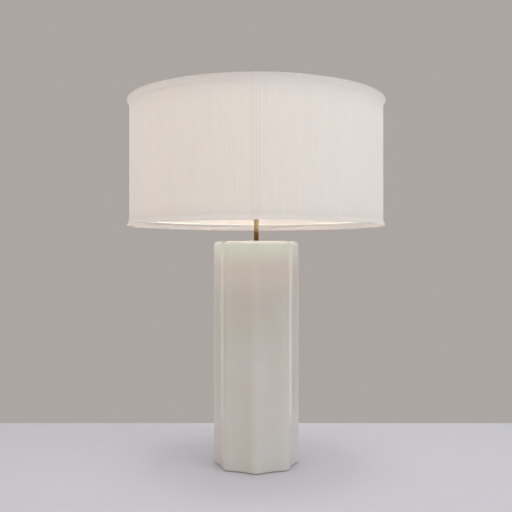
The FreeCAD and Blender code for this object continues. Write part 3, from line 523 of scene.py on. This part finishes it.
def cover_rows():
    """The cover's rows from the lower hem to the upper one: share of the flare, way inward, and height.

    Each rim has the rows of RIM_REACH, from its ring outwards, and the body between the rings has rows at
    even heights. The lower edge turns over at the node's lowest point, and the upper one just above its top.
    """
    low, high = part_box("shade_cover")
    lower, upper = middle_height("lower_ring"), middle_height("upper_ring")
    reach = np.array(RIM_REACH)
    inward = HEM_THICKNESS * np.array(RIM_INWARD)
    over = HEM_THICKNESS * np.array(RIM_PAST)
    body = np.zeros(BODY_ROWS)
    flared = np.concatenate([reach[::-1], body, reach])
    inward = np.concatenate([inward[::-1], body, inward])
    heights = np.concatenate([
        lower - (lower - low.z - over.max()) * reach[::-1] - over[::-1],
        np.linspace(lower, upper, BODY_ROWS),
        upper + (high.z - upper) * reach + over,
    ])
    return flared[:, None], inward[:, None], heights[:, None]


def pleat_folds(draws):
    """How far in each point round the cover lies: a rounded saw-tooth, drawn anew for each pleat."""
    point = np.arange(PLEATS * POINTS_PER_PLEAT)
    number = point // POINTS_PER_PLEAT
    phase = (point % POINTS_PER_PLEAT) / POINTS_PER_PLEAT
    lean = draws.uniform(*PLEAT_LEANS, PLEATS)[number]
    depth = draws.uniform(*PLEAT_DEPTH_SHARES, PLEATS)[number]
    tooth = np.where(phase < lean, phase / lean, (1 - phase) / (1 - lean))
    return PLEAT_DEPTH * depth * smooth_steps(tooth)


def slow_waves(angle, waves, draws):
    """A sum of sines of the angle, each starting at a drawn place."""
    return sum(size * np.sin(times * angle + draws.uniform(0, 2 * math.pi)) for times, size in waves)


def pleated_cover():
    """The shade's cloth, pleated all round, pinched to the two rings and flared past each of them.

    A point's radius is the outer radius of the cover less the fold of its pleat. Past each ring the cloth
    flares out by a parabola, turns over a thin round edge and comes a little way back inside as a hem. The
    flare and the height of the rims vary by slow waves. The seam at the front is pressed open: its two
    allowances lie side by side as one wide, flat fold. The cloth's own coordinates are the way round from
    the front, to both sides, and the way along it from the lower hem.
    """
    flared, inward, heights = cover_rows()
    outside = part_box("lower_ring")[1].x + HEM_THICKNESS
    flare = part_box("shade_cover")[1].x - outside
    draws = np.random.default_rng(PLEAT_SEED)
    fold = pleat_folds(draws)
    count = len(fold)
    half = count // 2
    point = np.arange(count)
    angle = FRONT + 2 * math.pi * point / count
    across = 2 * math.pi * outside * ((point + half) % count - half) / count

    radius = outside + (flare + slow_waves(angle, FLARE_WAVES, draws)) * flared ** 2 - fold - inward
    seam = smooth_steps((SEAM_ALLOWANCE + SEAM_THICKNESS - abs(across)) / SEAM_EDGE)
    radius = radius + seam * (fold + SEAM_THICKNESS)
    heights = heights + slow_waves(angle, RIM_WAVES, draws) * flared

    faces = grid_faces(len(heights), count)
    step_out = np.diff(radius.mean(1), prepend=radius[0].mean())
    step_up = np.diff(heights.mean(1), prepend=heights[0].mean())
    length = np.cumsum(np.hypot(step_out, step_up))
    along = np.stack(np.broadcast_arrays(across, length[:, None]), -1)
    uv = along.reshape(-1, 2)[faces]
    # At the back the way round changes sides, so the faces there end half a turn from the front.
    uv[:, half - 1, 1:3, 0] = math.pi * outside
    points = np.stack([radius * np.cos(angle), radius * np.sin(angle), heights], -1)
    cover = mesh_object("pleated_cover", points, faces, FINISHES["cloth"], uv)
    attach(cover, "shade")
    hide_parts("shade_cover")
    return cover


def column_outline():
    """The column's plan as complex points and outward normals, anticlockwise from the front ridge.

    Each ridge is an arc about its own centre and each flute an arc about a centre outside the column. The
    two arcs meet on the line between their centres, so the outline has no corner.
    """
    half_step = math.pi / RIDGES
    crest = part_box("ceramic_column")[1].x
    ridge_centre = crest - RIDGE_ROUND
    between = ((ridge_centre * math.sin(half_step)) ** 2 + FLUTE_DEPTH ** 2) / (2 * FLUTE_DEPTH)
    flute_centre = (ridge_centre * math.cos(half_step) + between - FLUTE_DEPTH) * np.exp(1j * half_step)
    tilt = np.angle(flute_centre - ridge_centre)
    on_ridge = np.exp(1j * np.linspace(-tilt, tilt, RIDGE_STEPS + 1))
    on_flute = np.exp(1j * np.linspace(tilt, 2 * half_step - tilt, FLUTE_STEPS + 1))[1:-1]
    plan = np.concatenate([ridge_centre + RIDGE_ROUND * on_ridge,
                           flute_centre - (between - RIDGE_ROUND) * on_flute])
    turns = np.exp(1j * (FRONT + 2 * half_step * np.arange(RIDGES)))[:, None]
    return (turns * plan).ravel(), (turns * np.concatenate([on_ridge, on_flute])).ravel()


def quarter(radius, steps, top=False):
    """How far a rounded edge is set in, and its height from the flat face that it meets."""
    turn = np.linspace(0, math.pi / 2, steps)
    inset, height = radius * (1 - np.sin(turn)), radius * (1 - np.cos(turn))
    return (inset[::-1], -height[::-1]) if top else (inset, height)


def glaze_depth(edge, level, low, high):
    """How far in the glaze lies: a sum of sines of angle and height, which fades out at both edges."""
    turn = np.angle(edge)
    most = sum(share for *_, share in GLAZE_WAVES)
    wave = sum(share * np.sin(times * turn + twist * level + start)
               for times, twist, start, share in GLAZE_WAVES)
    fade = smooth_steps((level - low) / WAVE_FADE) * smooth_steps((high - level) / WAVE_FADE)
    return GLAZE_WAVE * (most + wave) * fade


def cut_window(faces, outer_row, inner_row):
    """The column's faces with a window cut through its outer and inner wall and lined on four sides."""
    count = faces.shape[1]
    flute = INLET_FLUTE * (RIDGE_STEPS + FLUTE_STEPS) + RIDGE_STEPS
    first = flute + (FLUTE_STEPS - INLET_STEPS) // 2
    window = np.zeros(faces.shape[:2], bool)
    window[[outer_row, inner_row], first:first + INLET_STEPS] = True
    across = np.arange(first, first + INLET_STEPS + 1)
    out_low, out_high = outer_row * count + across, (outer_row + 1) * count + across
    in_high, in_low = inner_row * count + across, (inner_row + 1) * count + across
    sill = np.stack([out_low[:-1], out_low[1:], in_low[1:], in_low[:-1]], 1)
    head = np.stack([out_high[:-1], in_high[:-1], in_high[1:], out_high[1:]], 1)
    first_jamb = [out_low[0], in_low[0], in_high[0], out_high[0]]
    last_jamb = [out_low[-1], out_high[-1], in_high[-1], in_low[-1]]
    return np.concatenate([faces[~window], sill, head, [first_jamb, last_jamb]])


def glazed_column():
    """The ceramic shell: a profile carried round the fluted outline, closed into one thick wall.

    Outside it rises from a rounded foot to a rounded shoulder, and inside it comes down again, with the
    hole in the top and the opening and the recess in the floor as circles. The glaze lies in slow waves. A
    window for the cord's bush is cut through the wall.
    """
    low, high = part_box("ceramic_column")
    edge, normal = column_outline()
    ray = edge / abs(edge)
    inlet = middle_height("cord_inlet_bush")
    inlet_low, inlet_high = inlet - INLET_HALF_HEIGHT, inlet + INLET_HALF_HEIGHT
    foot_in, foot_up = quarter(FOOT_ROUND, FOOT_STEPS)
    top_in, top_down = quarter(SHOULDER_ROUND, SHOULDER_STEPS, top=True)
    wall = np.linspace(inlet_high + WALL_ABOVE_INLET, high.z - WALL_BELOW_TOP, WALL_ROWS)
    rising = np.concatenate([[inlet_low, inlet_high], wall])
    inset = np.concatenate([foot_in, 0 * rising, top_in])[:, None]
    level = np.concatenate([low.z + foot_up, rising, high.z + top_down])[:, None]
    outer = edge - (inset + glaze_depth(edge, level, low.z, high.z)) * normal

    shoulder = edge - SHOULDER_ROUND * normal
    inside = edge - COLUMN_WALL * normal
    hole, opening, recess = TOP_HOLE * ray, FLOOR_OPENING * ray, FOOT_RECESS * ray
    recess_top = low.z + FOOT_RECESS_DEPTH
    hollow_bottom = recess_top + COLUMN_WALL
    ceiling = high.z - COLUMN_WALL
    over_window = [(0.5 * shoulder + 0.5 * hole, high.z), (hole, high.z), (hole, ceiling),
                   (0.5 * inside + 0.5 * hole, ceiling), (inside, ceiling)]
    under_window = [(inside, hollow_bottom), (opening, hollow_bottom), (opening, recess_top),
                    (recess, recess_top), (recess, low.z)]
    steps = [*over_window, (inside, inlet_high), (inside, inlet_low), *under_window]
    rows = np.concatenate([outer, [plan for plan, _ in steps]])
    levels = np.concatenate([level, [[height] for _, height in steps]])

    faces = grid_faces(len(rows), len(edge), closed_along=True)
    faces = cut_window(faces, outer_row=len(foot_in), inner_row=len(outer) + len(over_window))
    column = mesh_object("glazed_column", upright(rows, levels), faces, FINISHES["ceramic"])
    column.data.set_sharp_from_angle(angle=math.radians(CREASE))
    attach(column, "base")
    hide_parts("ceramic_column")
    return column


def felt_foot():
    """The felt under the foot: the column's outline set in a little, with a soft, pressed edge.

    Each row is a share of the outline, from the middle of the underside out, up the edge and back in.
    """
    low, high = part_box("felt_pad")
    edge, normal = column_outline()
    edge = edge - FELT_INSET * normal
    rows = np.array(FELT_SHARES)[:, None] * edge
    levels = low.z + (high.z - low.z) * np.array(FELT_LIFTS)[:, None]
    felt = mesh_object("felt_foot", upright(rows, levels), grid_faces(*rows.shape), FINISHES["felt"])
    close_poles(felt, FELT_CREASE)
    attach(felt, "base")
    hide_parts("felt_pad")
    return felt


def bulb_thread():
    """The bulb's base: thin metal rolled into a rounded screw thread under a plain collar.

    The radius falls below the plain one by a cosine of the height in pitches less the share of a turn, so
    the crests climb as a helix. The depth swells from nothing at both ends of the thread. Inside, the wall
    comes down again to a floor over the insulator.
    """
    low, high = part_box("bulb_screw_base")
    cone_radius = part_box("bulb_insulator")[1].x
    cone_top = low.z + THREAD_PITCH / 2
    thread_top = high.z - THREAD_END * THREAD_PITCH
    turn = np.linspace(0, 1, THREAD_COLUMNS, endpoint=False)
    rolled = np.linspace(cone_top, thread_top, THREAD_ROWS)
    level = np.concatenate([rolled, [high.z - THREAD_PITCH, high.z]])[:, None]
    from_cone = (level - cone_top) / THREAD_PITCH
    to_end = (thread_top - level) / THREAD_PITCH
    groove = 0.5 - 0.5 * np.cos(2 * math.pi * ((level - low.z) / THREAD_PITCH - turn))
    outer = high.x - THREAD_DEPTH * smooth_steps(from_cone) * smooth_steps(to_end) * groove
    inner = high.x - THREAD_WALL
    core = inner - THREAD_DEPTH
    floor_top = cone_top + THREAD_WALL
    under = np.array([(0, low.z), (cone_radius, low.z)])
    within = np.array([(inner, high.z), (inner, thread_top + THREAD_WALL), (core, thread_top),
                       (core, floor_top), (0, floor_top)])
    plain = np.ones(THREAD_COLUMNS)
    rows = np.concatenate([under[:, :1] * plain, outer, within[:, :1] * plain])
    levels = np.concatenate([under[:, 1:], level, within[:, 1:]])
    points = upright(rows * np.exp(2j * math.pi * turn), levels)
    base = mesh_object("bulb_thread", points, grid_faces(*rows.shape), FINISHES["aluminium"])
    close_poles(base)
    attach(base, "bulb")
    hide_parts("bulb_screw_base")
    return base


def dress_nodes():
    """Gives every carried-over sub-part the finish of its slot."""
    slots = {part["node"]: part["material_slot"] for part in frame["record"]["subparts"]}
    for name, node in frame["nodes"].items():
        node.data.materials.clear()
        node.data.materials.append(FINISHES[slots[name]])


def floor():
    """A slab whose top is the surface that the lamp stands on, ending behind it as in the photograph."""
    left, right = -FLOOR_HALF_WIDTH, FLOOR_HALF_WIDTH
    plan = [(left, FLOOR_FRONT), (right, FLOOR_FRONT), (right, FLOOR_BACK), (left, FLOOR_BACK)]
    points = [(x, y, z) for z in (-FLOOR_THICKNESS, 0.0) for x, y in plan]
    edges = [(k, (k + 1) % 4, (k + 1) % 4 + 4, k + 4) for k in range(4)]
    mesh = bpy.data.meshes.new("floor")
    mesh.from_pydata(points, [], [(3, 2, 1, 0), (4, 5, 6, 7), *edges])
    mesh.materials.append(plain_floor())
    placed("floor", mesh)


def room():
    """The room's even light, and the plain wall that the camera and the gloss see.

    Gloss that mirrors the front half of the room sees it dimmer, as a room is behind a camera.
    """
    world = bpy.data.worlds.new("room")
    bpy.context.scene.world = world
    world.use_nodes = True
    world.node_tree.nodes.clear()
    start = Wire(world.node_tree)
    path = start.add("LightPath")
    glossy = path.out("Is Glossy Ray")
    seen = path.maths("MAXIMUM", glossy).maths("MAXIMUM", path.out("Is Transmission Ray"))
    back = start.add("TexCoord").parts()[1]
    dim = glossy * (1 - back.between(*DIM_TO_PLAIN))
    even = start.add("Background", None, {"Color": linear(ROOM_COLOUR), "Strength": ROOM_STRENGTH})
    wall = start.add("Background", None, {"Color": dim.tint(WALL_COLOUR, DIM_COLOUR), "Strength": 1.0})
    both = start.add("MixShader", None, {0: seen, 1: even, 2: wall})
    start.add("OutputWorld", None, {"Surface": both})


def hung_light(name, kind, place, watts, colour):
    """A light of one kind, facing down."""
    data = bpy.data.lights.new(name, kind)
    data.energy = watts
    data.color = linear(colour)[:3]
    light = placed(name, data)
    light.location = place
    return light


def soft_light(name, place, aim, size, watts, colour):
    """A rectangular studio light at a place, turned towards a point."""
    light = hung_light(name, "AREA", place, watts, colour)
    light.data.shape = "RECTANGLE"
    light.data.size, light.data.size_y = size
    away = np.array(place) - np.array(aim)
    tilt = math.acos(away[2] / np.linalg.norm(away))
    light.rotation_euler = (tilt, 0, math.atan2(away[1], away[0]) + math.pi / 2)


def bulb_light():
    """The light of the lit bulb, round the middle of its globe."""
    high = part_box("bulb_globe")[1]
    light = hung_light("bulb_light", "POINT", (0, 0, high.z - high.x), BULB_LIGHT_WATTS, BULB_LIGHT_COLOUR)
    light.data.shadow_soft_size = high.x + BULB_LIGHT_MARGIN


def camera():
    """A level camera at the photograph's viewing angle."""
    data = bpy.data.cameras.new("camera")
    data.lens, data.sensor_width = LENS_MM, SENSOR_MM
    eye = placed("camera", data)
    eye.location = CAMERA_PLACE
    eye.rotation_euler = (math.pi / 2, 0, 0)
    bpy.context.scene.camera = eye


camera()
dress_nodes()
pleated_cover()
glazed_column()
felt_foot()
bulb_thread()
floor()
room()
for studio_light in STUDIO_LIGHTS:
    soft_light(*studio_light)
bulb_light()
bpy.context.scene.view_settings.view_transform = "Standard"
